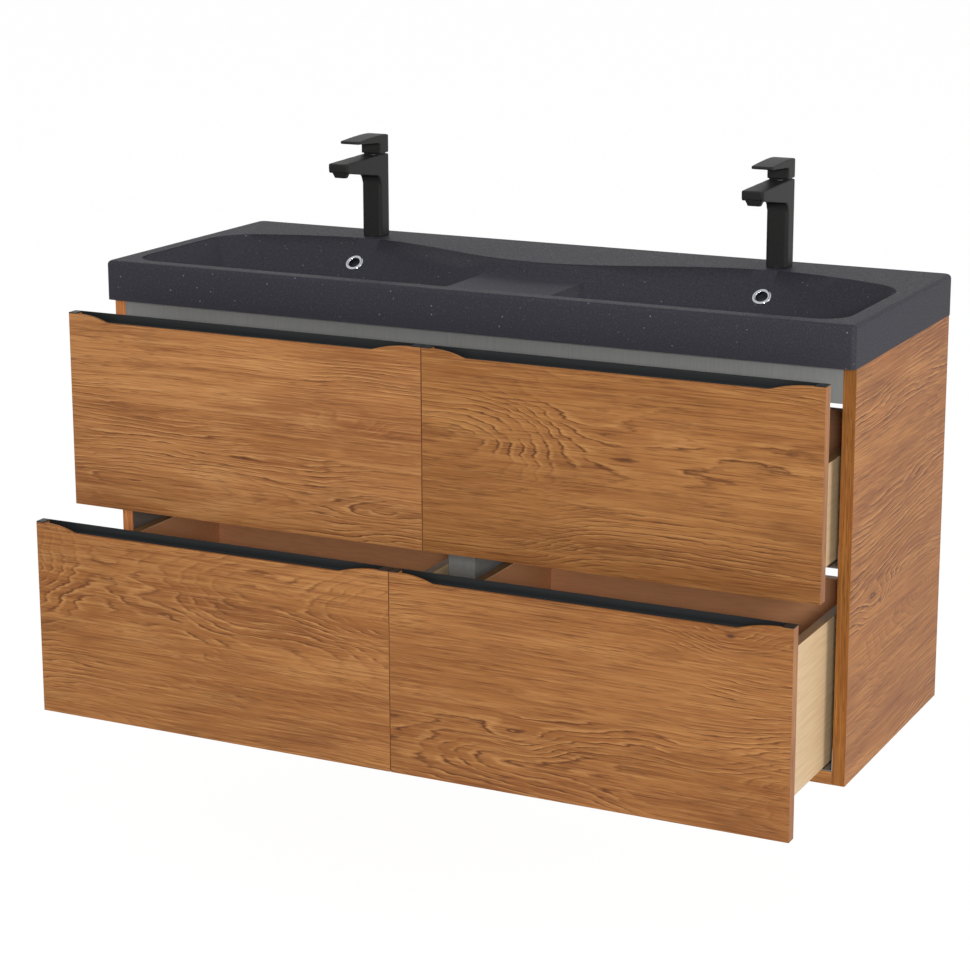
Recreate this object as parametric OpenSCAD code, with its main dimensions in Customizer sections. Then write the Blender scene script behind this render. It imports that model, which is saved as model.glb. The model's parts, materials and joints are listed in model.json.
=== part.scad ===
// Wall-hung double vanity: a two-bay carcass with four full-extension drawers,
// a moulded double basin on top, two lever taps and push-open wastes.
// Frame: +X right, +Y towards the wall, +Z up. The wall is the plane Y = 0, the
// middle of the cabinet is X = 0 and the underside of the carcass is Z = 0.

/* [Carcass] */
// Outer width of the carcass
carcass_w = 1200; // [1000:10:1440]
// Height of the carcass, without the basin
carcass_h = 600; // [500:5:720]
// Depth of the carcass, wall to front edge
carcass_d = 432; // [360:2:520]
// Thickness of the outer side panels and the bottoms
side_t = 19; // [15:0.5:23]
// Thickness of each of the two middle panels
centre_t = 22; // [18:0.5:27]
// Height of the front rails under the basin
rail_h = 52; // [43:1:62]
// Thickness of the front rails and the hanging rails
rail_t = 16; // [13:0.5:19]

/* [Drawer fronts] */
// Thickness of the fronts
front_t = 18; // [16:0.5:22]
// Gap between the top of the upper fronts and the basin
front_top_gap = 3; // [2.5:0.5:5]
// Gap between the upper and the lower fronts
front_mid_gap = 4; // [3.5:0.5:6]
// Gap round each front at the module's edges
front_side_gap = 0.75; // [0.5:0.25:2]
// Gap that the bumpers leave between a closed front and the carcass
bumper_gap = 1.5; // [1:0.25:3]
// Depth of the finger recess in the top edge of a front
recess_d = 10; // [8:0.5:13]
// Full-height stretch at the left end of a front
recess_left = 13; // [12:1:40]
// Full-height stretch at the right end of a front
recess_right = 16; // [13:1:40]
// Length of the S-shaped swoop at the left end of the recess
swoop_left = 56; // [40:1:70]
// Length of the S-shaped swoop at the right end of the recess
swoop_right = 67; // [40:1:80]

/* [Grip profile] */
// Thickness of the profile's walls
grip_t = 1.5; // [1.2:0.1:2]
// Depth of the pocket behind the front's top edge
grip_drop = 20; // [16.5:0.5:24]
// Wood left in front of the pocket
grip_skin = 5; // [4:0.5:7]
// Wood left at each end of the pocket
grip_end = 12; // [8:1:20]
// Radius of the trough's round bottom
grip_cove = 9; // [5:0.5:9.5]

/* [Drawer boxes] */
// Thickness of the box sides and backs
box_t = 15; // [12:0.5:18]
// Thickness of the box bottoms
box_bottom_t = 8; // [6:0.5:10]
// Depth of the grooves that hold the bottoms
groove_d = 6; // [4:0.5:8]
// Height of the upper boxes' sides
upper_box_h = 148; // [123:1:160]
// Height of the lower boxes' sides
lower_box_h = 215; // [179:1:230]
// Clearance between a box side and the panel beside it
side_gap = 14; // [12:0.5:17]
// Free depth behind a closed box
back_gap = 8.5; // [5:0.5:20]
// How far the upper drawers stand open
upper_open = 104; // [0:1:380]
// How far the lower drawers stand open
lower_open = 206; // [0:1:380]
// Width of the pipe cut-out in the upper boxes
notch_w = 200; // [160:5:240]
// Depth of the pipe cut-out, from the back of the box
notch_d = 130; // [100:5:160]

/* [Runners] */
// Sheet thickness of the runner members
runner_t = 1.2; // [1:0.1:1.4]
// Height from the runner's base to the box bottom that it carries
runner_h = 16; // [16:0.5:19]
// Clearance between the box sides and the runner's base
runner_clear = 3; // [2.5:0.25:3.5]
// Free depth behind the runners
runner_back = 30; // [20:1:60]

/* [Basin] */
// Height of the basin's apron
basin_h = 61; // [52:1:72]
// Overhang of the basin past each side of the carcass
basin_side = 2.5; // [1:0.5:6]
// Overhang of the basin past the front of the carcass
basin_front = 18; // [15:1:30]
// Width of the front rim
rim_front = 26; // [22:1:32]
// Width of the rim at each end
rim_end = 27.5; // [24:0.5:40]
// Depth of the back rim at the middle of the basin
deck_centre = 177; // [165:1:185]
// Depth of the back rim at the taps
deck_tap = 88; // [82:1:96]
// Depth of the back rim at the ends
deck_end = 148; // [130:1:160]
// Depth of the bowls
bowl_depth = 112; // [95:1:118]
// Depth of the shelf between the bowls
shelf_depth = 23; // [18:1:30]
// Half width of the shelf
shelf_half = 86; // [75:1:100]
// Wall thickness of the bowls
basin_wall = 12; // [10:0.5:13]
// Radius of the outer vertical corners
basin_corner = 7; // [4:0.5:12]

/* [Taps] */
// Distance of each tap from the middle of the basin
tap_x = 348; // [300:1:370]
// Distance of the taps from the wall
tap_back = 52; // [46:1:56]
// Width of the tap body
tap_w = 35; // [30:0.5:40]
// Depth of the tap body
tap_d = 31; // [28:0.5:36]
// Height of the column, basin to seam
tap_h = 133.5; // [111:0.5:160]
// Reach of the spout, from the tap's centre to its tip
spout_reach = 124; // [104:1:148]
// Reach of the lever, from the tap's centre to its tip
lever_reach = 86; // [72:1:100]
// Gap between the column and the lever
lever_gap = 1.7; // [1.5:0.1:2.5]

/* [Hidden] */
eps = 1;
round_fn = 64;
swoop_low = 0.11;
swoop_high = 0.33;
swoop_full = 0.95;
hull_fn = 20;

// Colours
oak = "#b0743f";
graphite = "#5a5c58";
maple = "#dec094";
tobacco = "#875f44";
steel = "#a7a9ab";
black_metal = "#1e2022";
granite = "#3d3b42";
chrome = "#c9ccd0";
tap_black = "#2a2a29";

// Carcass
half_w = carcass_w / 2;
front_y = -carcass_d;
bay_x0 = centre_t;
bay_x1 = half_w - side_t;
bay_w = bay_x1 - bay_x0;
bay_mid = (bay_x0 + bay_x1) / 2;

// Fronts: two rows, lower row flush with the underside of the carcass
front_w = half_w - 2 * front_side_gap;
front_h = (carcass_h - front_top_gap - front_mid_gap) / 2;
front_back_y = front_y - bumper_gap;
upper_front_z = front_h + front_mid_gap;

// Boxes
box_w = bay_w - 2 * side_gap;
box_d = carcass_d + bumper_gap - back_gap;
lower_base_z = side_t;
upper_base_rise = 14.5;
upper_base_z = upper_front_z + upper_base_rise;
box_floor = runner_h - runner_clear;
box_inner_w = box_w - 2 * box_t;
guard_t = 12;
guard_h = 100;

// Runners: section sizes, measured inwards from the panel
runner_front_set = 2;
runner_l = carcass_d - runner_back - runner_front_set;
channel_set = 4;
channel_u0 = side_gap + box_t + channel_set;
channel_w = 24;
channel_h = 9;
lip_l = 2.8;
flange_h = 34;
slide_gap = 0.8;
middle_set = 4;
middle_short = 12;
middle_head = 0.2;
drawer_lip_l = 4;
drawer_inset = 0.5;

// Hanging rails start clear above the closed upper boxes
upper_box_top = upper_base_z + runner_clear + upper_box_h;
hang_clear = 19;
hang_z = upper_box_top + hang_clear;
hang_h = carcass_h - hang_z;
wall_hole_r = 4.5;
wall_hole_pitch = 400;
hook_w = 22;
hook_h = 26;
hanger_w = 18;
hanger_l = 50;
hanger_h = 40;
hanger_z = hang_z + hang_h / 2;
hanger_wall = 3;
hook_play = 6;
hook_lip = 4;
hanger_screw_r = 3;

// Basin
basin_w = carcass_w + 2 * basin_side;
basin_d = carcass_d + basin_front;
basin_top = carcass_h + basin_h;
x_end = basin_w / 2 - rim_end;
rim_front_y = -basin_d + rim_front;
over = 5;
hull_top = 10;
hull_in = 2;
hull_end = 14;
hull_start = 2;
shelf_round = 5;
rim_round = 6;
plan_corner = 45;
end_run = 100;
step_run = 80;
lip_depth = 2;
front_lean = 0.35;
back_lean = 1.06;
floor_round = 30;
deck_t = 14;
tap_hole_r = 17.5;
pocket_w = 110;
pocket_back = 14;
pocket_gap = 1;

// Wastes, in the middle of each bowl's flat floor
waste_r = 20.955;
waste_hole_r = 22.5;
waste_collar_r = 21.5;
waste_bore_r = 17;
waste_flange_r = 31;
waste_flange_t = 3;
waste_nut_r = 30;
waste_nut_t = 8;
waste_tail = 35;
plug_r = 29;
plug_t = 4;
plug_gap = 0.4;
plug_stem_r = 4;
stem_clear = 0.05;
guide_h = 12;
guide_rim_r = 7;
arm_w = 3;
arm_h = 6;
waste_nut_clear = 2;
flange_clear = 0.2;
stem_end = 2;
plug_edge = 1.5;
plug_crown_r = 19;
floor_front_y = rim_front_y + front_lean * bowl_depth + floor_round;
floor_back_y = -deck_tap - back_lean * bowl_depth - floor_round;
waste_y = (floor_front_y + floor_back_y) / 2;
bowl_floor_z = basin_top - bowl_depth;

// Overflow, on the sloping back wall of each bowl below the tap
overflow_t = 0.17;
overflow_r = 15;
overflow_hole_r = 10.5;
overflow_deep = 12;
ring_t = 1.5;
ring_deep = 8;
ring_seat = 0.2;
ring_proud = 2.3;

// Taps
tap_y = -tap_back;
tap_corner = 5;
column_top = basin_top + tap_h;
lever_z = column_top + lever_gap;
spout_tip_h = 15;
spout_drop = 3;
spout_root_h = 32;
spout_corner = 4;
spout_edge = 1.5;
spout_fillet = 12;
spout_trim_h = 60;
outlet_w = 26;
outlet_d = 16;
outlet_in = 12;
outlet_seat = 6;
outlet_h = 8;
outlet_corner = 4;
outlet_taper = 3;
shank_r = 16;
shank_drop = 42;
supply_r = 4.5;
supply_deep = 12;
supply_pitch = 15;
washer_r = 21.5;
washer_t = 3;
tap_nut_r = 20;
tap_nut_t = 8;
cartridge_r = 13;
cartridge_l = 30;
carrier_r = 9;
carrier_l = 20;
lug_w = 10;
lug_l = 16;
lug_h = 9;
lug_front = 3.5;
lug_clear = 0.5;
lug_head = 5;
neck_h = 2.5;
neck_clear = 2;
cavity_back = 4;
cavity_front = 1.5;
pin_end = 0.3;
carrier_float = 0.5;
lever_h = 30;
lever_edge = 2;
lever_fall = 3.2;
lever_fillet = 3;
blade_tip_t = 4.6;
blade_root_z = 17;
lever_trim_h = 50;
pivot_back = 9;
pivot_up = 4;
pin_r = 1.5;
pin_l = 24;

// ---------- shared shapes ----------

// A box given by its low and high corners.
module block(low, high) {
    translate(low) cube(high - low);
}

// A round bar or bore, h high from where it stands.
module rod(h, r) {
    cylinder(h = h, r = r, $fn = round_fn);
}

// A flat rectangle with round corners, centred.
module round_rect(w, d, r, fn = round_fn) {
    square([w - 2 * r, d], center = true);
    square([w, d - 2 * r], center = true);
    for (x = [-1, 1], y = [-1, 1])
        translate([x * (w / 2 - r), y * (d / 2 - r)]) circle(r, $fn = fn);
}

// A solid lofted through sections that all have the same number of points.
module loft(sections) {
    count = len(sections[0]);
    last = len(sections) - 1;
    polyhedron(
        points = [for (s = sections) each s],
        faces = concat(
            [[for (k = [0 : count - 1]) k]],
            [[for (k = [count - 1 : -1 : 0]) last * count + k]],
            [for (i = [0 : last - 1], k = [0 : count - 1])
                let (n = (k + 1) % count)
                each [[i * count + k, (i + 1) * count + k, (i + 1) * count + n],
                      [i * count + k, (i + 1) * count + n, i * count + n]]]
        ),
        convexity = 8
    );
}

// Point at t on the curve from a to c that bends towards b.
function bend(a, b, c, t) = (1 - t) * (1 - t) * a + 2 * t * (1 - t) * b + t * t * c;

// Smooth rise from 0 to 1.
function ease(t) = (1 - cos(180 * t)) / 2;

// ---------- carcass ----------

module side_panel(s) {
    color(oak) block([s > 0 ? bay_x1 : -half_w, front_y, 0], [s > 0 ? half_w : -bay_x1, 0, carcass_h]);
}

module centre_panel(s) {
    color(graphite) block([s > 0 ? 0 : -centre_t, front_y, 0], [s > 0 ? centre_t : 0, 0, carcass_h]);
}

module bottom_panel(s) {
    color(oak) block([s > 0 ? bay_x0 : -bay_x1, front_y, 0], [s > 0 ? bay_x1 : -bay_x0, 0, side_t]);
}

module front_rail(s) {
    color(graphite)
        block([s > 0 ? bay_x0 : -bay_x1, front_y, carcass_h - rail_h],
              [s > 0 ? bay_x1 : -bay_x0, front_y + rail_t, carcass_h]);
}

// Rail that the cabinet hangs from, with end slots for the hanger hooks
// and two plain holes for the safety screws.
module hanging_rail(s) {
    color(tobacco) difference() {
        block([s * bay_mid - bay_w / 2, -rail_t, hang_z], [s * bay_mid + bay_w / 2, 0, carcass_h]);
        for (e = [-1, 1])
            translate([s * bay_mid + e * (bay_w / 2 - hook_w / 2 + eps / 2), -rail_t / 2, hanger_z])
                cube([hook_w + eps, rail_t + 2 * eps, hook_h], center = true);
        for (e = [-1, 1])
            translate([s * bay_mid + e * wall_hole_pitch / 2, eps, hanger_z])
                rotate([90, 0, 0]) rod(rail_t + 2 * eps, wall_hole_r);
    }
}

// Steel hanging brackets, screwed to the panels in the four top back corners,
// each with a hook through the rail's slot.
module wall_hangers() {
    color(steel) for (s = [-1, 1], e = [-1, 1])
        translate([s * bay_mid + e * bay_w / 2, 0, hanger_z]) mirror([e > 0 ? 1 : 0, 0, 0]) {
            difference() {
                union() {
                    block([0, -rail_t - hanger_l, -hanger_h / 2], [hanger_w, -rail_t, hanger_h / 2]);
                    block([hanger_wall, -rail_t - eps, hook_play - hook_h / 2],
                          [hanger_w - hanger_wall, -hanger_wall, hook_h / 2 - hook_play]);
                    block([hanger_wall, -2 * hanger_wall, hook_play - hook_lip - hook_h / 2],
                          [hanger_w - hanger_wall, -hanger_wall, hook_h / 2 - hook_play + hook_lip]);
                }
                block([hanger_wall, hanger_wall - rail_t - hanger_l, hanger_wall - hanger_h / 2],
                      [hanger_w + eps, -rail_t - hanger_wall, hanger_h / 2 - hanger_wall]);
            }
            translate([hanger_w / 2, -rail_t - hanger_wall / 2, hanger_h / 4])
                rotate([90, 0, 0]) rod(hanger_l, hanger_screw_r);
        }
}

// ---------- drawers ----------

function row_open(upper) = upper ? upper_open : lower_open;
function row_front_z(upper) = upper ? upper_front_z : 0;
function row_base_z(upper) = upper ? upper_base_z : lower_base_z;
function row_box_h(upper) = upper ? upper_box_h : lower_box_h;

// Point at t on the S-shaped swoop, l long, from the recess's floor up to the full height.
function swoop(l, t) =
    [l * (3 * (1 - t) * (1 - t) * t * swoop_low + 3 * (1 - t) * t * t * swoop_high + t * t * t),
     recess_d * (3 * (1 - t) * t * t * swoop_full + t * t * t)];

// Outline of a front seen from the room, with the finger recess in its top edge.
function front_outline() =
    let (steps = 14,
         floor_z = front_h - recess_d,
         x0 = recess_left + swoop_left,
         x1 = front_w - recess_right - swoop_right)
    concat(
        [[0, 0], [front_w, 0], [front_w, front_h]],
        [for (i = [steps : -1 : 0]) let (p = swoop(swoop_right, i / steps)) [x1 + p[0], floor_z + p[1]]],
        [for (i = [0 : steps]) let (p = swoop(swoop_left, i / steps)) [x0 - p[0], floor_z + p[1]]],
        [[0, front_h]]
    );

module drawer_front(s, upper) {
    x0 = s > 0 ? front_side_gap : -half_w + front_side_gap;
    y0 = front_back_y - row_open(upper);
    color(oak) translate([x0, y0, row_front_z(upper)]) difference() {
        rotate([90, 0, 0]) linear_extrude(front_t) polygon(front_outline());
        block([grip_end, -front_t + grip_skin, front_h - grip_drop],
              [front_w - grip_end, eps, front_h + eps]);
    }
}

// Section of the grip: a back wall, a round-bottomed trough and a low wall behind the recess.
// Drawn with x towards the room's side negative and y up from the front's top edge.
function grip_section() =
    let (low = -front_t + grip_skin,
         base = -grip_drop,
         t = grip_t,
         r = grip_cove)
    concat(
        [[low, base], [0, base], [0, t], [-t, t]],
        [for (i = [0 : 10]) let (a = 90 * i / 10) [-t - r + r * cos(a), base + t + r - r * sin(a)]],
        [[low + t, base + t], [low + t, -recess_d], [low, -recess_d]]
    );

// Extruded grip let into a front's top edge. Fingers reach over the recess into its trough,
// and a flat cap covers the front at each end.
module grip_profile(s, upper) {
    x0 = s > 0 ? front_side_gap : -half_w + front_side_gap;
    y0 = front_back_y - row_open(upper);
    color(black_metal) translate([x0, y0, row_front_z(upper) + front_h]) {
        block([0, -front_t, 0], [recess_left, 0, grip_t]);
        block([front_w - recess_right, -front_t, 0], [front_w, 0, grip_t]);
        translate([recess_left - eps, -grip_t, 0])
            cube([front_w - recess_left - recess_right + 2 * eps, grip_t, grip_t]);
        translate([grip_end, 0, 0]) rotate([90, 0, 90])
            linear_extrude(front_w - 2 * grip_end) polygon(grip_section());
    }
}

// Both sides of a box, grooved for the bottom.
module box_sides(s, upper) {
    y1 = front_back_y - row_open(upper);
    z0 = row_base_z(upper) + runner_clear;
    color(maple) for (e = [-1, 1])
        translate([s * bay_mid + e * (box_w - box_t) / 2, 0, 0]) difference() {
            block([-box_t / 2, y1, z0], [box_t / 2, y1 + box_d, z0 + row_box_h(upper)]);
            translate([-e * (box_t - groove_d) / 2, y1 + box_d / 2, z0 + box_floor + box_bottom_t / 2])
                cube([groove_d, box_d + 2 * eps, box_bottom_t], center = true);
        }
}

// The back stands on the bottom. An upper back is in two parts, beside the cut-out.
module box_back(s, upper) {
    y1 = front_back_y - row_open(upper) + box_d;
    z0 = row_base_z(upper) + runner_clear + box_floor + box_bottom_t;
    z1 = row_base_z(upper) + runner_clear + row_box_h(upper);
    half = box_inner_w / 2;
    color(maple) translate([s * bay_mid, 0, 0])
        if (upper)
            for (e = [-1, 1])
                mirror([e < 0 ? 1 : 0, 0, 0]) block([notch_w / 2 + guard_t, y1 - box_t, z0], [half, y1, z1]);
        else
            block([-half, y1 - box_t, z0], [half, y1, z1]);
}

module box_bottom(s, upper) {
    y0 = front_back_y - row_open(upper);
    z0 = row_base_z(upper) + runner_clear + box_floor;
    half = box_inner_w / 2 + groove_d;
    color(tobacco) translate([s * bay_mid, 0, 0]) difference() {
        block([-half, y0, z0], [half, y0 + box_d, z0 + box_bottom_t]);
        if (upper)
            block([-notch_w / 2, y0 + box_d - notch_d, z0 - eps],
                  [notch_w / 2, y0 + box_d + eps, z0 + box_bottom_t + eps]);
    }
}

// U-shaped wall round the pipe cut-out of an upper drawer.
module pipe_guard(s) {
    y1 = front_back_y - upper_open + box_d;
    z0 = upper_base_z + runner_clear + box_floor + box_bottom_t;
    color(tobacco) translate([s * bay_mid, 0, 0]) difference() {
        block([-notch_w / 2 - guard_t, y1 - notch_d - guard_t, z0],
              [notch_w / 2 + guard_t, y1, z0 + guard_h]);
        block([-notch_w / 2, y1 - notch_d, z0 - eps], [notch_w / 2, y1 + eps, z0 + guard_h + eps]);
    }
}

// ---------- runners ----------

// The sections are drawn with x inwards from the panel and y up from the runner's base.
channel_u1 = channel_u0 + channel_w;
channel_mid = (channel_u0 + channel_u1) / 2;

module cabinet_section() {
    square([runner_t, flange_h]);
    square([channel_u1, runner_t]);
    for (u = [channel_u0, channel_u1 - runner_t]) translate([u, 0]) square([runner_t, channel_h]);
    translate([channel_u0, channel_h - runner_t]) square([lip_l + runner_t, runner_t]);
    translate([channel_u1 - lip_l - runner_t, channel_h - runner_t]) square([lip_l + runner_t, runner_t]);
}

module middle_section() {
    low = runner_t + slide_gap;
    high = runner_h - 2 * runner_t - slide_gap - middle_head;
    half = channel_w / 2 - runner_t - slide_gap;
    translate([channel_mid - half, low]) square([2 * half, runner_t]);
    translate([channel_mid - runner_t / 2, low]) square([runner_t, high - low + runner_t / 2]);
    translate([channel_mid - half + eps, high]) square([2 * (half - eps), runner_t]);
}

module drawer_section() {
    half = channel_w / 2 - drawer_inset;
    low = channel_h + slide_gap;
    for (e = [-1, 1]) translate([channel_mid, 0]) mirror([e < 0 ? 1 : 0, 0]) {
        translate([half - runner_t, low]) square([runner_t, runner_h - low]);
        translate([half - drawer_lip_l, low]) square([drawer_lip_l, runner_t]);
    }
    translate([channel_mid - half, runner_h - runner_t]) square([2 * half, runner_t]);
}

// A pair of runner members, one at each side of bay s, from y0 for length l.
module runner_pair(s, z0, y0, l) {
    color(steel) for (e = [-1, 1])
        translate([s * bay_mid + e * bay_w / 2, y0 + l, z0])
            mirror([e > 0 ? 1 : 0, 0, 0]) rotate([90, 0, 0]) linear_extrude(l) children();
}

module cabinet_runners(s) {
    for (upper = [true, false])
        runner_pair(s, row_base_z(upper), front_y + runner_front_set, runner_l) cabinet_section();
}

module middle_runners(s, upper) {
    y0 = front_y + runner_front_set + middle_set - row_open(upper) / 2;
    runner_pair(s, row_base_z(upper), y0, runner_l - middle_short)
        middle_section();
}

module drawer_runners(s, upper) {
    runner_pair(s, row_base_z(upper), front_y + runner_front_set - row_open(upper), runner_l)
        drawer_section();
}

// ---------- basin ----------

// Depth of the recess below the rim, along X.
function recess_at(x) =
    let (a = abs(x))
    a < shelf_half ? shelf_depth
    : a < shelf_half + step_run ? shelf_depth + (bowl_depth - shelf_depth) * sin(90 * (a - shelf_half) / step_run)
    : x_end - a < end_run ? lip_depth + (bowl_depth - lip_depth) * sin(90 * max(0, x_end - a) / end_run)
    : bowl_depth;

// How far the plan's round corners pull the rim's edges in, near the ends.
function corner_in(x) =
    let (e = max(0, x_end - abs(x)))
    e < plan_corner ? plan_corner - sqrt(plan_corner * plan_corner - pow(plan_corner - e, 2)) : 0;

// The rim's inner back edge waves: deep at the middle and the ends, shallow at the taps.
function deck_at(x) =
    let (a = abs(x))
    a < tap_x ? deck_centre + (deck_tap - deck_centre) * ease(a / tap_x)
    : deck_tap + (deck_end - deck_tap) * (1 - cos(90 * min(1, (a - tap_x) / (x_end - tap_x))));

// Radius between walls and floor, small at the shelf and large in the bowls.
function floor_r(d) =
    d < shelf_depth ? shelf_round * d / shelf_depth
    : shelf_round + (floor_round - shelf_round) * (d - shelf_depth) / (bowl_depth - shelf_depth);

// One section of the recess: open above the rim, round where walls meet the floor.
function recess_section(x) =
    let (d = recess_at(x),
         yf = rim_front_y + corner_in(x),
         yb = -deck_at(x) - corner_in(x),
         r = floor_r(d))
    concat(
        [[x, yf, basin_top + over]],
        [for (i = [0 : 5]) let (t = i / 5)
            [x, bend(yf, yf + front_lean * d, yf + front_lean * d + r, t), basin_top - bend(0, d, d, t)]],
        [for (i = [7 : -1 : 0]) let (t = i / 7)
            [x, bend(yb, yb - back_lean * d, yb - back_lean * d - r, t), basin_top - bend(0, d, d, t)]],
        [[x, yb, basin_top + over]]
    );

// Stations of the recess from one end to the other, closer where it turns.
half_stations = concat(
    [for (i = [0 : 8]) x_end - end_run * (1 - cos(90 * i / 8))],
    [for (i = [1 : 7]) let (a = x_end - end_run, b = shelf_half + step_run) a + (b - a) * i / 8],
    [for (i = [0 : 6]) shelf_half + step_run * (1 - i / 6)],
    [shelf_half / 2]
);
recess_stations = concat(
    [for (x = half_stations) -x],
    [0],
    [for (i = [len(half_stations) - 1 : -1 : 0]) half_stations[i]]
);

// Underside of a bowl, a wall's thickness outside the recess.
function hull_depth(a) =
    basin_wall + recess_at(a > tap_x ? max(tap_x, a - basin_wall) : min(tap_x, a + basin_wall));

function bowl_section(x) =
    let (d = hull_depth(abs(x)) - basin_wall,
         yf = rim_front_y + corner_in(x) + hull_in,
         yb = -deck_at(x) - corner_in(x),
         r = floor_r(d),
         w = basin_wall)
    concat(
        [for (i = [0 : 5]) let (t = i / 5)
            [x, bend(yf, yf + front_lean * d, yf + front_lean * d + r, t) - w * (1 - t),
             basin_top - max(hull_top, bend(0, d, d, t) + w * t)]],
        [for (i = [5 : -1 : 0]) let (t = i / 5)
            [x, bend(yb, yb - back_lean * d, yb - back_lean * d - r, t) + w * (1 - t),
             basin_top - max(hull_top, bend(0, d, d, t) + w * t)]]
    );

bowl_stations = concat(
    [for (i = [0 : 6]) let (a = x_end - hull_end, b = x_end - end_run + basin_wall) a + (b - a) * i / 6],
    [for (i = [1 : 3]) let (a = x_end - end_run + basin_wall, b = shelf_half + step_run - basin_wall)
        a + (b - a) * i / 4],
    [for (i = [0 : 5]) let (a = shelf_half + step_run - basin_wall, b = shelf_half - basin_wall + hull_start)
        a + (b - a) * i / 5]
);

function reversed(list) = [for (i = [len(list) - 1 : -1 : 0]) list[i]];

// Place and lean of the overflow on the bowl's back wall.
overflow_y = bend(-deck_tap, -deck_tap - back_lean * bowl_depth,
                  -deck_tap - back_lean * bowl_depth - floor_round, overflow_t);
overflow_z = basin_top - bend(0, bowl_depth, bowl_depth, overflow_t);
overflow_lean = atan2(2 * (1 - overflow_t) * bowl_depth,
                      2 * (1 - overflow_t) * back_lean * bowl_depth + 2 * overflow_t * floor_round);

module at_overflow(s) {
    translate([s * tap_x, overflow_y, overflow_z]) rotate([overflow_lean, 0, 0]) children();
}

// The basin's outline at height z, drawn in by e along the front and the ends.
function slab_outline(e, z) =
    let (r = basin_corner)
    [for (c = [0 : 3], i = [0 : 6])
        let (a = 90 * c + 15 * i,
             x = (c == 0 || c == 3 ? 1 : -1) * (basin_w / 2 - e - r),
             y = c < 2 ? -r : -basin_d + e + r)
        [x + r * cos(a), y + r * sin(a), z]];

module basin() {
    color(granite) difference() {
        union() {
            loft(concat(
                [slab_outline(0, carcass_h)],
                [for (i = [0 : 5]) let (a = 90 * i / 5)
                    slab_outline(rim_round * (1 - cos(a)), basin_top - rim_round * (1 - sin(a)))]
            ));
            intersection() {
                for (s = [-1, 1])
                    loft([for (a = s > 0 ? reversed(bowl_stations) : bowl_stations) bowl_section(s * a)]);
                block([-half_w, -basin_d, 0], [half_w, 0, carcass_h + eps / 2]);
            }
        }
        loft([for (x = recess_stations) recess_section(x)]);
        for (s = [-1, 1]) {
            translate([s * tap_x, tap_y, carcass_h]) rod(basin_h + eps, tap_hole_r);
            block([s * tap_x - pocket_w / 2, -deck_tap + basin_wall + pocket_gap, carcass_h - eps],
                  [s * tap_x + pocket_w / 2, -pocket_back, basin_top - deck_t]);
            translate([s * tap_x, waste_y, bowl_floor_z - basin_wall - eps])
                rod(basin_wall + 2 * eps, waste_hole_r);
            // room for the waste's flange, where a shallow basin's slopes come close to it
            translate([s * tap_x, waste_y, bowl_floor_z])
                rod(bowl_depth + eps, waste_flange_r + flange_clear);
            at_overflow(s) translate([0, 0, -overflow_deep])
                rod(overflow_deep + 4, overflow_hole_r);
        }
    }
}

// Chrome ring with a round bead, pushed into each overflow hole.
module overflow_rings() {
    mid = (overflow_r + overflow_hole_r - ring_t) / 2;
    half = overflow_r - mid;
    color(chrome) for (s = [-1, 1])
        at_overflow(s) rotate_extrude($fn = round_fn)
            polygon(concat(
                [[overflow_hole_r - ring_t, -ring_deep], [overflow_hole_r, -ring_deep],
                 [overflow_hole_r, ring_seat]],
                [for (i = [0 : 8]) let (a = 180 * i / 8)
                    [mid + half * cos(a), ring_seat + ring_proud * sin(a)]]
            ));
}

// ---------- wastes ----------

waste_top_z = bowl_floor_z + waste_flange_t;
collar_low_z = bowl_floor_z - basin_wall - waste_nut_t - waste_nut_clear;
tail_low_z = collar_low_z - waste_tail;

// Waste body: flange in the bowl, collar under the nut and threaded tail for the trap,
// with a three-arm spider that guides the plug's stem.
module waste(s) {
    guide_r = plug_stem_r + stem_clear;
    color(chrome) translate([s * tap_x, waste_y, 0]) difference() {
        union() {
            difference() {
                union() {
                    translate([0, 0, bowl_floor_z]) rod(waste_flange_t, waste_flange_r);
                    translate([0, 0, collar_low_z])
                        rod(bowl_floor_z - collar_low_z, waste_collar_r);
                    translate([0, 0, tail_low_z]) rod(waste_tail, waste_r);
                }
                translate([0, 0, tail_low_z - eps])
                    rod(waste_top_z - tail_low_z + 2 * eps, waste_bore_r);
            }
            translate([0, 0, collar_low_z]) {
                rod(guide_h, guide_rim_r);
                for (a = [90, 210, 330])
                    rotate([0, 0, a])
                        block([guide_rim_r - arm_w, -arm_w / 2, 0], [waste_bore_r + eps, arm_w / 2, arm_h]);
            }
        }
        translate([0, 0, collar_low_z - eps]) rod(guide_h + 2 * eps, guide_r);
    }
}

module waste_plug(s) {
    z0 = waste_top_z + plug_gap;
    color(chrome) translate([s * tap_x, waste_y, 0]) rotate_extrude($fn = round_fn)
        polygon([[0, collar_low_z + stem_end], [plug_stem_r, collar_low_z + stem_end], [plug_stem_r, z0],
                 [plug_r, z0], [plug_r, z0 + plug_edge], [plug_r - plug_edge, z0 + 2 * plug_edge],
                 [plug_crown_r, z0 + plug_t - plug_gap], [0, z0 + plug_t]]);
}

// ---------- taps ----------

// Side view of the spout, drawn with x forwards from the tap's centre and y up from the column's top.
function spout_side() =
    let (tip = spout_reach,
         under_tip = -spout_drop - spout_tip_h,
         root = tap_d / 2,
         e = spout_edge)
    concat(
        [[0, 0], [root, 0], [tip - e, -spout_drop], [tip, -spout_drop - e],
         [tip - e, under_tip + e], [tip - 2 * e, under_tip]],
        [for (i = [0 : 6]) let (a = 90 * i / 6)
            [root + spout_fillet * (1 - sin(a)), -spout_root_h - spout_fillet * (1 - cos(a))]],
        [[0, -spout_root_h - spout_fillet]]
    );

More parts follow.
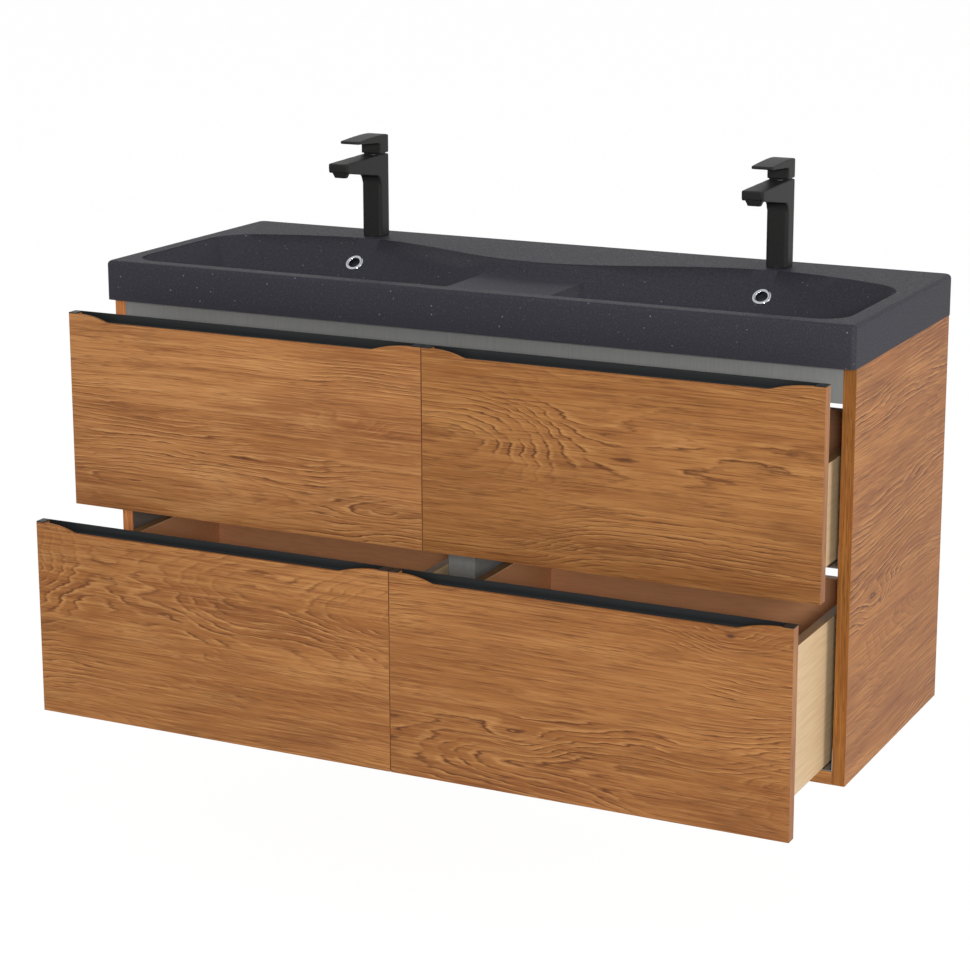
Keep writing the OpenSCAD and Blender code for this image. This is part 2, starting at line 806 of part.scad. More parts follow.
// Side view of the lever: a block over the column and a blade that thins to its tip.
function lever_side() =
    let (back = -tap_d / 2,
         face = tap_d / 2,
         e = lever_edge,
         tip_top = lever_h - lever_fall)
    concat(
        [[back + e, 0], [back, e], [back, lever_h - 2 * e], [back + e, lever_h - e / 2]],
        [for (i = [0 : 6]) let (t = i / 6)
            [bend(back + 4 * e, face, lever_reach - e, t), bend(lever_h, lever_h + e, tip_top, t)]],
        [[lever_reach, tip_top - e], [lever_reach - e / 2, tip_top - blade_tip_t]],
        [[face + 2 * lever_fillet, blade_root_z + lever_fillet / 3]],
        [for (i = [0 : 4]) let (a = 90 * i / 4)
            [face + lever_fillet * (1 - sin(a)), blade_root_z - lever_fillet * (1 - cos(a))]],
        [[face, 0]]
    );

// A side view stood up along Y, w wide.
module across(w) {
    translate([w / 2, 0, 0]) rotate([0, 0, -90]) rotate([90, 0, 0]) linear_extrude(w) children();
}

outlet_y = tap_y - spout_reach + outlet_in;
outlet_z = column_top - spout_drop - spout_tip_h;

module tap_body(s) {
    color(tap_black) translate([s * tap_x, 0, 0]) difference() {
        union() {
            translate([0, tap_y, basin_top]) linear_extrude(tap_h) round_rect(tap_w, tap_d, tap_corner);
            intersection() {
                translate([0, tap_y, column_top]) across(tap_w) polygon(spout_side());
                translate([0, tap_y - (spout_reach - tap_corner) / 2, column_top - spout_trim_h])
                    linear_extrude(spout_trim_h + eps)
                        round_rect(tap_w, spout_reach + tap_corner, spout_corner);
            }
            translate([0, tap_y, basin_top - shank_drop]) rod(shank_drop + eps, shank_r);
        }
        translate([0, tap_y, column_top - cartridge_l]) rod(cartridge_l + eps, cartridge_r);
        for (e = [-1, 1])
            translate([e * supply_pitch / 2, tap_y, basin_top - shank_drop - eps])
                rod(supply_deep + eps, supply_r);
        translate([0, outlet_y, outlet_z - outlet_h])
            linear_extrude(outlet_seat + outlet_h) round_rect(outlet_w, outlet_d, outlet_corner);
    }
}

// Flow straightener in the spout's underside, with tapered lip below it.
module tap_outlets() {
    color(tap_black) for (s = [-1, 1]) translate([s * tap_x, outlet_y, outlet_z]) {
        linear_extrude(outlet_seat) round_rect(outlet_w, outlet_d, outlet_corner);
        hull() {
            translate([0, 0, -eps / 2])
                linear_extrude(eps) round_rect(outlet_w, outlet_d, outlet_corner, hull_fn);
            translate([0, 0, -outlet_h]) linear_extrude(eps)
                round_rect(outlet_w - 2 * outlet_taper, outlet_d - 2 * outlet_taper,
                           outlet_corner - 1, hull_fn);
        }
    }
}

// Ceramic cartridge pressed into the column, bored for the carrier.
module tap_cartridges() {
    color(steel) for (s = [-1, 1]) translate([s * tap_x, tap_y, column_top - cartridge_l]) difference() {
        rod(cartridge_l, cartridge_r);
        translate([0, 0, cartridge_l - carrier_l]) rod(carrier_l + eps, carrier_r + stem_clear);
    }
}

pivot_y = tap_y + pivot_back;
pivot_z = lever_z + pivot_up;

// Carrier that swivels in the cartridge and carries the lever's pivot pin.
module tap_carrier(s) {
    color(steel) translate([s * tap_x, 0, 0]) {
        translate([0, tap_y, column_top - carrier_l + carrier_float])
            rod(carrier_l + lever_gap / 2 - carrier_float, carrier_r);
        block([-lug_w / 2, pivot_y + lug_front - lug_l, column_top],
              [lug_w / 2, pivot_y + lug_front, lever_z + lug_h]);
        translate([-pin_l / 2, pivot_y, pivot_z]) rotate([0, 90, 0]) rod(pin_l, pin_r);
    }
}

module tap_lever(s) {
    color(tap_black) translate([s * tap_x, 0, 0]) difference() {
        intersection() {
            translate([0, tap_y, lever_z]) across(tap_w) polygon(lever_side());
            translate([0, tap_y - (lever_reach - tap_d / 2) / 2, lever_z - eps])
                linear_extrude(lever_trim_h) round_rect(tap_w, lever_reach + tap_d / 2, tap_corner);
        }
        block([-lug_w / 2 - lug_clear, tap_y - tap_d / 2 + cavity_back, lever_z - eps],
              [lug_w / 2 + lug_clear, tap_y + tap_d / 2 - cavity_front, lever_z + lug_h + lug_head]);
        translate([0, tap_y, lever_z - eps]) rod(eps + neck_h, carrier_r + neck_clear);
        translate([-pin_l / 2 - pin_end, pivot_y, pivot_z]) rotate([0, 90, 0])
            rod(pin_l + 2 * pin_end, pin_r + stem_clear);
    }
}

// Washers and nuts that hold the taps and the wastes from below.
module basin_fixings() {
    color(steel) for (s = [-1, 1]) {
        translate([s * tap_x, tap_y, basin_top - deck_t - washer_t]) difference() {
            rod(washer_t, washer_r);
            translate([0, 0, -eps]) rod(washer_t + 2 * eps, shank_r);
        }
        translate([s * tap_x, tap_y, basin_top - deck_t - washer_t - tap_nut_t]) difference() {
            cylinder(h = tap_nut_t, r = tap_nut_r, $fn = 6);
            translate([0, 0, -eps]) rod(tap_nut_t + 2 * eps, shank_r);
        }
        translate([s * tap_x, waste_y, bowl_floor_z - basin_wall - waste_nut_t]) difference() {
            cylinder(h = waste_nut_t, r = waste_nut_r, $fn = 8);
            translate([0, 0, -eps]) rod(waste_nut_t + 2 * eps, waste_collar_r);
        }
    }
}

// ---------- nodes ----------

side_panel(-1);  // side_panel_left
side_panel(1);  // side_panel_right
centre_panel(-1);  // centre_panel_left
centre_panel(1);  // centre_panel_right
bottom_panel(-1);  // bottom_panel_left
bottom_panel(1);  // bottom_panel_right
front_rail(-1);  // front_rail_left
front_rail(1);  // front_rail_right
hanging_rail(-1);  // hanging_rail_left
hanging_rail(1);  // hanging_rail_right
wall_hangers();
cabinet_runners(-1);  // cabinet_runners_left
cabinet_runners(1);  // cabinet_runners_right
basin();
overflow_rings();
waste(-1);  // waste_left
waste(1);  // waste_right
waste_plug(-1);  // waste_plug_left
waste_plug(1);  // waste_plug_right
tap_body(-1);  // tap_body_left
tap_body(1);  // tap_body_right
tap_outlets();
tap_cartridges();
basin_fixings();
tap_carrier(-1);  // tap_carrier_left
tap_carrier(1);  // tap_carrier_right
tap_lever(-1);  // tap_lever_left
tap_lever(1);  // tap_lever_right

drawer_front(-1, true);  // front_upper_left
grip_profile(-1, true);  // grip_upper_left
box_sides(-1, true);  // sides_upper_left
box_back(-1, true);  // back_upper_left
box_bottom(-1, true);  // bottom_upper_left
pipe_guard(-1);  // pipe_guard_left
drawer_runners(-1, true);  // runners_upper_left
middle_runners(-1, true);  // middle_runners_upper_left

drawer_front(1, true);  // front_upper_right
grip_profile(1, true);  // grip_upper_right
box_sides(1, true);  // sides_upper_right
box_back(1, true);  // back_upper_right
box_bottom(1, true);  // bottom_upper_right
pipe_guard(1);  // pipe_guard_right
drawer_runners(1, true);  // runners_upper_right
middle_runners(1, true);  // middle_runners_upper_right

drawer_front(-1, false);  // front_lower_left
grip_profile(-1, false);  // grip_lower_left
box_sides(-1, false);  // sides_lower_left
box_back(-1, false);  // back_lower_left
box_bottom(-1, false);  // bottom_lower_left
drawer_runners(-1, false);  // runners_lower_left
middle_runners(-1, false);  // middle_runners_lower_left

drawer_front(1, false);  // front_lower_right
grip_profile(1, false);  // grip_lower_right
box_sides(1, false);  // sides_lower_right
box_back(1, false);  // back_lower_right
box_bottom(1, false);  // bottom_lower_right
drawer_runners(1, false);  // runners_lower_right
middle_runners(1, false);  // middle_runners_lower_right
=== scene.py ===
import json
import math
import bmesh
import bpy
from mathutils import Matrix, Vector


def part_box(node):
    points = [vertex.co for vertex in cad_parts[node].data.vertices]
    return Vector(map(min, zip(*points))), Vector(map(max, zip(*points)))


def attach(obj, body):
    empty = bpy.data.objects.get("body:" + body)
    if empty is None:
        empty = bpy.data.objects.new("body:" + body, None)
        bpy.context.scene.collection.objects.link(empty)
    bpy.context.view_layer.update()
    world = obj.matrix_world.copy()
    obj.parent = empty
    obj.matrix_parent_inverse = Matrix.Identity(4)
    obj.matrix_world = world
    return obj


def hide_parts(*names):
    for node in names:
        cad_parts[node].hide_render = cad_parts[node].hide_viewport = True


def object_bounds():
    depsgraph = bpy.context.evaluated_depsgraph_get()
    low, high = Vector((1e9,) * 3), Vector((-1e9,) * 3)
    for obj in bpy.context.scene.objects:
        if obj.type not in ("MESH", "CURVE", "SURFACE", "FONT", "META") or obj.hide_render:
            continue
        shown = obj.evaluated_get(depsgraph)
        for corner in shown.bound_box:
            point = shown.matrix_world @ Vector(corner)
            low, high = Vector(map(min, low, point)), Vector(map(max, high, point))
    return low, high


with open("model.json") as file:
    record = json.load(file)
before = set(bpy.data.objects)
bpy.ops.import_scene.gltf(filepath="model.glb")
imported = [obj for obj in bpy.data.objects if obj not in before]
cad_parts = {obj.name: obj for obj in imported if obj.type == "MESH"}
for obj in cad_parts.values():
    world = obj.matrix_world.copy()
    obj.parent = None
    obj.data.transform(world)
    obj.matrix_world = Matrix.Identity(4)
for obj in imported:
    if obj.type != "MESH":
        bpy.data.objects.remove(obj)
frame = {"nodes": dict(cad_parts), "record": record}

cad_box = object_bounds()

# ---------- Studio ----------
# The cabinet hangs over a plain white floor in an even white room. The main lamp stands behind
# the camera, so that its light reaches into the open drawers, and a softer one on the right
# keeps the end of the cabinet as light as its fronts.

LENS = 94.97
LENS_SHIFT = (-0.03, -0.08)
CAMERA_PLACE = (1.6593, -3.6725, 1.3168)
CAMERA_DIP = 12.873
CAMERA_TURN = 25.896
FRONT_LAMP = {"place": (3.41, -7.22, 2.40), "aim": (0, -0.3, 0.3), "size": 1.1, "watts": 303}
SIDE_LAMP = {"place": (6.0, -1.8, 2.0), "aim": (0.2, -0.3, 0.3), "size": 3.0, "watts": 104}
ROOM_LIGHT = 0.36
WHITE = (1, 1, 1, 1)
FLOOR_REACH = 20
FLOOR_DROP = 0.26
FLOOR_PAINT = (0.95, 0.95, 0.95, 1)
FLOOR_GLOW = 1.08
SHADOW_SHARE = 0.12

scene = bpy.context.scene
scene.view_settings.view_transform = "Standard"

camera = bpy.data.objects.new("camera", bpy.data.cameras.new("camera"))
scene.collection.objects.link(camera)
scene.camera = camera
camera.data.lens = LENS
camera.data.shift_x, camera.data.shift_y = LENS_SHIFT
camera.location = CAMERA_PLACE
camera.rotation_euler = (math.radians(90 - CAMERA_DIP), 0, math.radians(CAMERA_TURN))


def studio_lamp(name, place, aim, size, watts):
    """A square lamp that stands at place and faces aim."""
    lamp = bpy.data.lights.new(name, "AREA")
    lamp.size = size
    lamp.energy = watts
    stand = bpy.data.objects.new(name, lamp)
    scene.collection.objects.link(stand)
    stand.location = place
    stand.rotation_euler = (Vector(aim) - Vector(place)).to_track_quat("-Z", "Y").to_euler()


studio_lamp("front_lamp", **FRONT_LAMP)
studio_lamp("side_lamp", **SIDE_LAMP)


def seen_directly(tree):
    """1 for rays from the camera, off a mirror or through glass, 0 for light on a surface."""
    path = tree.nodes.new("ShaderNodeLightPath")
    direct = tree.nodes.new("ShaderNodeMath")
    direct.operation = "MAXIMUM"
    both = tree.nodes.new("ShaderNodeMath")
    both.operation = "MAXIMUM"
    tree.links.new(path.outputs["Is Camera Ray"], direct.inputs[0])
    tree.links.new(path.outputs["Is Glossy Ray"], direct.inputs[1])
    tree.links.new(direct.outputs[0], both.inputs[0])
    tree.links.new(path.outputs["Is Transmission Ray"], both.inputs[1])
    return both.outputs[0]


def new_piece(name, bm, materials):
    """A scene object with the bmesh's shape and the materials in order. It frees the bmesh."""
    mesh = bpy.data.meshes.new(name)
    bm.to_mesh(mesh)
    bm.free()
    for material in materials:
        mesh.materials.append(material)
    piece = bpy.data.objects.new(name, mesh)
    scene.collection.objects.link(piece)
    return piece


# The room looks white, and sheds only ROOM_LIGHT on the cabinet.
world = bpy.data.worlds.new("white_room")
scene.world = world
world.use_nodes = True
room = world.node_tree.nodes["Background"]
room.inputs["Color"].default_value = WHITE
dimmed = world.node_tree.nodes.new("ShaderNodeMapRange")
dimmed.inputs["To Min"].default_value = ROOM_LIGHT
dimmed.inputs["To Max"].default_value = 1.0
world.node_tree.links.new(seen_directly(world.node_tree), dimmed.inputs["Value"])
world.node_tree.links.new(dimmed.outputs[0], room.inputs["Strength"])

# The floor looks white by its own glow, and a share of its paint takes the cabinet's shadow.
white_floor = bpy.data.materials.new("white_floor")
white_floor.use_nodes = True
tree = white_floor.node_tree
paint = tree.nodes["Principled BSDF"]
paint.inputs["Base Color"].default_value = FLOOR_PAINT
paint.inputs["Roughness"].default_value = 0.9
paint.inputs["Specular IOR Level"].default_value = 0.0
glow = tree.nodes.new("ShaderNodeEmission")
glow.inputs["Color"].default_value = WHITE
glow.inputs["Strength"].default_value = FLOOR_GLOW
share = tree.nodes.new("ShaderNodeMath")
share.operation = "MULTIPLY"
share.inputs[1].default_value = 1 - SHADOW_SHARE
mixed = tree.nodes.new("ShaderNodeMixShader")
tree.links.new(seen_directly(tree), share.inputs[0])
tree.links.new(share.outputs[0], mixed.inputs[0])
tree.links.new(paint.outputs[0], mixed.inputs[1])
tree.links.new(glow.outputs[0], mixed.inputs[2])
tree.links.new(mixed.outputs[0], tree.nodes["Material Output"].inputs["Surface"])

bm = bmesh.new()
bmesh.ops.create_grid(bm, x_segments=1, y_segments=1, size=FLOOR_REACH)
bmesh.ops.translate(bm, verts=bm.verts, vec=(0, 0, cad_box[0].z - FLOOR_DROP))
floor = new_piece("floor", bm, [white_floor])

# ---------- Carcass: oak outside, graphite inside ----------
# Chipboard panels with a printed oak face. The edges carry a thin oak band with its grain along
# the edge, and the inner faces of the sides are plain graphite.

MM = 0.001
SIDES = ("left", "right")
record = frame["record"]
BODY_OF = {node: body for body, nodes in record["behaviour"]["bodies"].items() for node in nodes}

# The colour sockets of a Mix node: two that come in and one that goes out.
MIX_A, MIX_B, MIX_RESULT = 6, 7, 2


class Wires:
    """Adds nodes to a tree in one line each and joins them up."""

    def __init__(self, tree):
        self.tree = tree

    def put(self, kind, inputs=None, **settings):
        """A new node, with a value or a link in each of the named inputs."""
        node = self.tree.nodes.new("ShaderNode" + kind)
        for key, value in settings.items():
            setattr(node, key, value)
        for key, value in (inputs or {}).items():
            self.feed(node.inputs[key], value)
        return node

    def feed(self, socket, value):
        """Links value into the socket, or writes it there where it is a plain one."""
        if isinstance(value, bpy.types.NodeSocket):
            self.tree.links.new(value, socket)
        else:
            socket.default_value = value

    def place(self):
        """Where a point of the surface is, in metres, in the object's own axes."""
        return self.put("TexCoord").outputs["Object"]

    def math(self, operation, a, b=0.0, c=0.0):
        return self.put("Math", {0: a, 1: b, 2: c}, operation=operation).outputs[0]

    def product(self, a, b):
        return self.math("MULTIPLY", a, b)

    def total(self, *values):
        """All the values added up."""
        result = values[0]
        for value in values[1:]:
            result = self.math("ADD", result, value)
        return result

    def scaled(self, vector, by):
        return self.put("VectorMath", {0: vector, 1: by}, operation="MULTIPLY").outputs[0]

    def noise(self, vector, cells, detail=2.0, roughness=0.5):
        """Noise with so many cells a metre along each of the three axes."""
        inputs = {"Vector": self.scaled(vector, cells), "Scale": 1.0, "Detail": detail,
                  "Roughness": roughness}
        return self.put("TexNoise", inputs).outputs[0]

    def spread(self, value, low, high, to_low=0.0, to_high=1.0):
        """The value's stretch from low to high, drawn out softly from to_low to to_high."""
        inputs = {"Value": value, "From Min": low, "From Max": high, "To Min": to_low,
                  "To Max": to_high}
        return self.put("MapRange", inputs, interpolation_type="SMOOTHSTEP").outputs[0]

    def tint(self, share, a, b, blend="MIX"):
        """Colour a with so large a share of colour b over it."""
        mix = self.put("Mix", {0: share}, data_type="RGBA", blend_type=blend)
        self.feed(mix.inputs[MIX_A], a)
        self.feed(mix.inputs[MIX_B], b)
        return mix.outputs[MIX_RESULT]

    def stain(self, colour, mask, low, high, share, over):
        """The colour with another over it: none of it where the mask is at low, share of it at high."""
        return self.tint(self.spread(mask, low, high, 0.0, share), colour, over)


def new_group(name, inputs, outputs):
    """An empty shader node group: the group, its wires, what it takes and what it gives."""
    group = bpy.data.node_groups.new(name, "ShaderNodeTree")
    for label, kind in inputs.items():
        group.interface.new_socket(label, in_out="INPUT", socket_type="NodeSocket" + kind)
    for label, kind in outputs.items():
        group.interface.new_socket(label, in_out="OUTPUT", socket_type="NodeSocket" + kind)
    takes = group.nodes.new("NodeGroupInput").outputs
    gives = group.nodes.new("NodeGroupOutput").inputs
    return group, Wires(group), takes, gives


def srgb(red, green, blue):
    """A screen colour from 0 to 255 as the linear colour that shaders take."""
    return tuple(((c / 255 + 0.055) / 1.055) ** 2.4 if c > 10 else c / 255 / 12.92
                 for c in (red, green, blue)) + (1.0,)


# Printed oak. X runs along the grain and Y across it, in metres. The growth rings are cut by a
# board whose depth under the bark drifts, so they open into arches and ovals near the heart
# line, at Y 0, and run straight on either side of it.
OAK_MID = srgb(158, 104, 57)
OAK_LIGHT = srgb(182, 126, 74)
OAK_RED = srgb(136, 82, 45)
OAK_LINE = srgb(88, 50, 28)
OAK_GLINT = srgb(204, 152, 96)
OAK_FIBRE = srgb(108, 64, 34)
OAK_KNOT = srgb(58, 34, 40)
OAK_RELIEF = 0.05 * MM
DEPTH_SWING = 0.44
DEPTH_START = -0.17
RINGS_A_METRE = 150.0
DRIFT_RINGS = 13.0
SWAY_RINGS = 1.7
FRET_RINGS = 0.55
KNOT_RINGS = 4.0
KNOT_CELLS = (3.4, 9.5, 3.4)
KNOT_REACH = 0.34
KNOT_RIM = (0.010, 0.036)

oak_group, wood, takes, gives = new_group(
    "oak_figure", {"Vector": "Vector", "Figure": "Float"}, {"Color": "Color", "Height": "Float"})


def grain_noise(along, across, detail=2.0, roughness=0.5):
    """Noise on the board with so many cells a metre along the grain and across it."""
    return wood.noise(takes["Vector"], (along, across, along), detail, roughness)


# A knot sits in some of the cells, and pushes the rings aside.
knot_cell = wood.put("TexVoronoi", {"Vector": wood.scaled(takes["Vector"], KNOT_CELLS),
                                    "Scale": 1.0, "Randomness": 0.9})
knot_pick = wood.put("SeparateColor", {0: knot_cell.outputs["Color"]}).outputs[0]
knot_here = wood.spread(knot_pick, 0.60, 0.66)
from_knot = knot_cell.outputs["Distance"]
knot_near = wood.product(wood.spread(from_knot, 0.0, KNOT_REACH, 1.0, 0.0), knot_here)
knot_core = wood.product(wood.spread(from_knot, *KNOT_RIM, 1.0, 0.0), knot_here)

# The rings, counted from the heart and bent by slow waves and quick ones.
across = wood.put("SeparateXYZ", {0: takes["Vector"]}).outputs[1]
depth = wood.math("MULTIPLY_ADD", grain_noise(1.4, 0.5, detail=1.5), DEPTH_SWING, DEPTH_START)
from_heart = wood.put("CombineXYZ", {0: depth, 1: across}).outputs[0]
radius = wood.put("VectorMath", {0: from_heart}, operation="LENGTH").outputs["Value"]
drift = grain_noise(2.4, 8.0, detail=1.6, roughness=0.45)
sway = grain_noise(8.0, 60.0)
fret = grain_noise(40.0, 190.0)
ring = wood.total(wood.product(radius, RINGS_A_METRE), wood.product(drift, DRIFT_RINGS),
                  wood.product(sway, SWAY_RINGS), wood.product(fret, FRET_RINGS),
                  wood.product(knot_near, KNOT_RINGS))
phase = wood.math("FRACT", ring)
year = wood.put("TexWhiteNoise", {"W": wood.math("FLOOR", ring)}, noise_dimensions="1D")

# Each ring ends in a dark line with a light one beside it, clear here and faint there.
zone = wood.spread(grain_noise(2.4, 10.0, detail=1.0), 0.47, 0.62)
broken = wood.spread(grain_noise(14.0, 110.0), 0.36, 0.60, 0.1, 1.0)
strength = wood.product(wood.math("MULTIPLY_ADD", zone, 0.78, 0.22), broken)
strength = wood.product(strength, takes["Figure"])
line = wood.product(wood.spread(phase, 0.70, 0.90), wood.spread(phase, 0.92, 1.0, 1.0, 0.0))
line = wood.product(line, strength)
glint = wood.product(wood.spread(phase, 0.0, 0.08), wood.spread(phase, 0.12, 0.40, 1.0, 0.0))
glint = wood.product(glint, strength)

# Broad bands, clouds, streaks and fibres lie under the lines, and short dark pores over them.
bands = grain_noise(1.3, 9.0, detail=3.0)
warm = grain_noise(3.0, 14.0)
cloud = grain_noise(5.5, 19.0, detail=3.0, roughness=0.6)
streak = grain_noise(2.6, 70.0, detail=4.0, roughness=0.65)
fibre = grain_noise(8.0, 430.0, detail=3.0, roughness=0.65)
porous = wood.spread(grain_noise(5.0, 42.0), 0.40, 0.60, 0.2, 1.0)
pores = wood.product(wood.spread(grain_noise(34.0, 950.0, detail=1.0), 0.54, 0.66), porous)
redder = wood.product(wood.spread(year.outputs["Value"], 0.55, 1.0, 0.0, 0.30), zone)

colour = wood.stain(OAK_MID, bands, 0.36, 0.70, 1.0, OAK_LIGHT)
colour = wood.stain(colour, warm, 0.46, 0.74, 0.60, OAK_RED)
colour = wood.tint(redder, colour, OAK_RED)
colour = wood.stain(colour, cloud, 0.52, 0.76, 0.42, OAK_FIBRE)
colour = wood.stain(colour, cloud, 0.46, 0.28, 0.35, OAK_GLINT)
colour = wood.stain(colour, streak, 0.50, 0.72, 0.42, OAK_RED)
colour = wood.stain(colour, streak, 0.48, 0.28, 0.34, OAK_GLINT)
colour = wood.stain(colour, fibre, 0.51, 0.70, 0.62, OAK_FIBRE)
colour = wood.stain(colour, fibre, 0.49, 0.31, 0.46, OAK_GLINT)
colour = wood.tint(wood.product(glint, 0.62), colour, OAK_GLINT)
colour = wood.tint(wood.product(line, 0.85), colour, OAK_LINE)
colour = wood.tint(wood.product(pores, 0.50), colour, OAK_LINE)
colour = wood.tint(wood.product(knot_core, 0.80), colour, OAK_KNOT)
wood.feed(gives["Color"], colour)
sunk = wood.total(wood.product(line, 0.6), wood.product(pores, 0.4))
wood.feed(gives["Height"], wood.math("SUBTRACT", 1.0, sunk))


def plain_material(name, roughness, specular, metallic=0.0):
    """A named material, its wires and its shader."""
    material = bpy.data.materials.new(name)
    material.use_nodes = True
    shader = material.node_tree.nodes["Principled BSDF"]
    shader.inputs["Roughness"].default_value = roughness
    shader.inputs["Specular IOR Level"].default_value = specular
    shader.inputs["Metallic"].default_value = metallic
    return material, Wires(material.node_tree), shader


def turned(w, order, shift):
    """The surface's place with its axes in another order, the grain's first, and shifted."""
    at = w.put("SeparateXYZ", {0: w.place()})
    axes = [at.outputs["xyz".index(letter)] for letter in order]
    turn = w.put("CombineXYZ", {0: axes[0], 1: axes[1], 2: axes[2]})
    return w.put("VectorMath", {0: turn.outputs[0], 1: shift}, operation="ADD").outputs[0]


def bumped(w, shader, height, distance):
    """Relief on the shader, where a height of 1 stands distance above a height of 0."""
    bump = w.put("Bump", {"Height": height, "Distance": distance, "Strength": 1.0})
    w.feed(shader.inputs["Normal"], bump.outputs[0])


def oak(name, order, shift, figure=1.0, cast=WHITE, size=1.0):
    """Oak print with its own cut of the board. Figure is how clear its rings are, cast warms or cools
    its colour, or lightens or darkens it as painted light, and size is the scale at which it is printed."""
    material, w, shader = plain_material(name, roughness=0.50, specular=0.20)
    cut = w.put("Group", node_tree=oak_group)
    w.feed(cut.inputs["Vector"], w.scaled(turned(w, order, shift), (1 / size,) * 3))
    w.feed(cut.inputs["Figure"], figure)
    w.feed(shader.inputs["Base Color"], w.tint(1.0, cut.outputs["Color"], cast, blend="MULTIPLY"))
    bumped(w, shader, cut.outputs["Height"], OAK_RELIEF)
    return material


# Corners of the CAD mesh nearer than this are one, and edges flatter than this are no edges.
SAME_CORNER = 0.002 * MM
FLAT = math.radians(0.5)
POLISH_SHARE = 0.5
POLISH_PASSES = 22


def shaped(name, source, bevel, pick, materials, segments=2, sharp_from=35, soften=0):
    """A finer copy of the CAD node called source. Its edges of sharp_from degrees and more are
    rounded by bevel, and pick gives each face's material by its normal and its middle. With
    soften, the whole skin is made new in cells of that size and smoothed, as a polished
    casting is."""
    sharp_angle = math.radians(sharp_from)
    bm = bmesh.new()
    bm.from_mesh(frame["nodes"][source].data)
    bmesh.ops.remove_doubles(bm, verts=bm.verts, dist=SAME_CORNER)
    bmesh.ops.dissolve_limit(bm, angle_limit=FLAT, verts=bm.verts, edges=bm.edges)
    if bevel:
        sharp = [edge for edge in bm.edges
                 if len(edge.link_faces) == 2 and edge.calc_face_angle(0) > sharp_angle]
        bmesh.ops.bevel(bm, geom=sharp, offset=bevel, segments=segments, affect="EDGES",
                        profile=0.5, material=-1, clamp_overlap=True)
    for face in bm.faces:
        face.material_index = pick(face.normal, face.calc_center_median())
        face.smooth = True
    piece = new_piece(name, bm, materials)
    piece.data.set_sharp_from_angle(angle=sharp_angle)
    if soften:
        skin = piece.modifiers.new("skin", "REMESH")
        skin.mode = "VOXEL"
        skin.voxel_size = soften
        skin.use_smooth_shade = True
        polish = piece.modifiers.new("polish", "SMOOTH")
        polish.factor = POLISH_SHARE
        polish.iterations = POLISH_PASSES
    else:
        even = piece.modifiers.new("even_shading", "WEIGHTED_NORMAL")
        even.keep_sharp = True
    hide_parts(source)
    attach(piece, BODY_OF[source])


def all_one(normal, middle):
    """One material all over."""
    return 0


BOARD_ROUND = 0.5 * MM
BOARD_RELIEF = 0.05 * MM

# How far a normal points along an axis: more than LEVEL on a flat face, and less on a rounded
# edge, which goes with the side that it leans to.
LEVEL = 0.9
LEANING = 0.5


def board_material(name, colour, dark, print_cells, amount, roughness=0.5):
    """Melamine-faced board: up to amount of the dark colour printed finely over the other."""
    material, w, shader = plain_material(name, roughness, specular=0.35)
    fine_print = w.noise(w.place(), print_cells, detail=3.0)
    cloud = w.noise(w.place(), (3, 3, 3))
    shade = w.stain(colour, fine_print, 0.35, 0.68, amount, dark)
    w.feed(shader.inputs["Base Color"], w.stain(shade, cloud, 0.35, 0.7, 0.25, dark))
    bumped(w, shader, fine_print, BOARD_RELIEF)
    return material


def side_faces(outward):
    """For a side panel: outside, inside, the edges that stand upright, and top and foot."""
    def pick(normal, middle):
        if normal.x * outward > LEVEL:
            return 0
        if normal.x * outward < -LEVEL:
            return 1
        return 2 if abs(normal.y) > LEANING else 3
    return pick


def floor_faces(normal, middle):
    """For a bottom panel: its faces, and its front and back edges."""
    return 1 if abs(normal.y) > LEVEL else 0


oak_side = oak("oak_side", "yzx", (3.1, -0.2, 5.0), figure=1.2, cast=(1.04, 0.95, 0.81, 1.0), size=1.25)
# The sides' front edges carry painted light: the left one's oak is cast far lighter, as if brightly lit,
# and the right one's darker, as painted shade.
oak_upright_lit_and_shaded = {
    "left": oak("oak_upright_left_painted_light", "zxy", (0.7, 1.3, 0.2), figure=0.35, cast=(1.8, 1.62, 1.6, 1.0)),
    "right": oak("oak_upright_right_painted_shade", "zxy", (2.1, 1.3, 0.2), figure=0.35, cast=(0.84, 0.76, 0.52, 1.0)),
}
oak_side_foot = oak("oak_side_foot", "yxz", (4.3, 1.9, 0.2), figure=0.35)
oak_floor = oak("oak_floor", "xyz", (5.7, 2.3, 0.2), figure=0.6)
oak_floor_edge = oak("oak_floor_edge", "xzy", (5.7, 1.1, 0.2), figure=0.35, cast=(0.95, 0.88, 0.76, 1.0))
graphite = board_material(
    "graphite_board", srgb(140, 141, 139), srgb(116, 117, 115), (900, 60, 30), 0.35)
graphite_inside = board_material(
    "graphite_inside", srgb(122, 110, 102), srgb(94, 84, 77), (60, 40, 400), 0.5, roughness=0.55)

for side, outward in (("left", -1), ("right", 1)):
    shaped(f"side_board_{side}", f"side_panel_{side}", BOARD_ROUND, side_faces(outward),
           [oak_side, graphite_inside, oak_upright_lit_and_shaded[side], oak_side_foot])
    shaped(f"middle_board_{side}", f"centre_panel_{side}", BOARD_ROUND, all_one, [graphite])
    shaped(f"floor_board_{side}", f"bottom_panel_{side}", BOARD_ROUND, floor_faces,
           [oak_floor, oak_floor_edge])
    shaped(f"front_rail_board_{side}", f"front_rail_{side}", BOARD_ROUND, all_one, [graphite])

# ---------- Hanging rails and brackets ----------
# A board across the back of each bay takes the wall screws. Zinc-plated brackets in the corners
# hook through its end slots and carry the cabinet's weight.

BRACKET_ROUND = 0.3 * MM
ZINC_RELIEF = 0.03 * MM

inside_board = board_material(
    "brown_board", srgb(218, 158, 112), srgb(194, 138, 97), (30, 400, 400), 0.45)

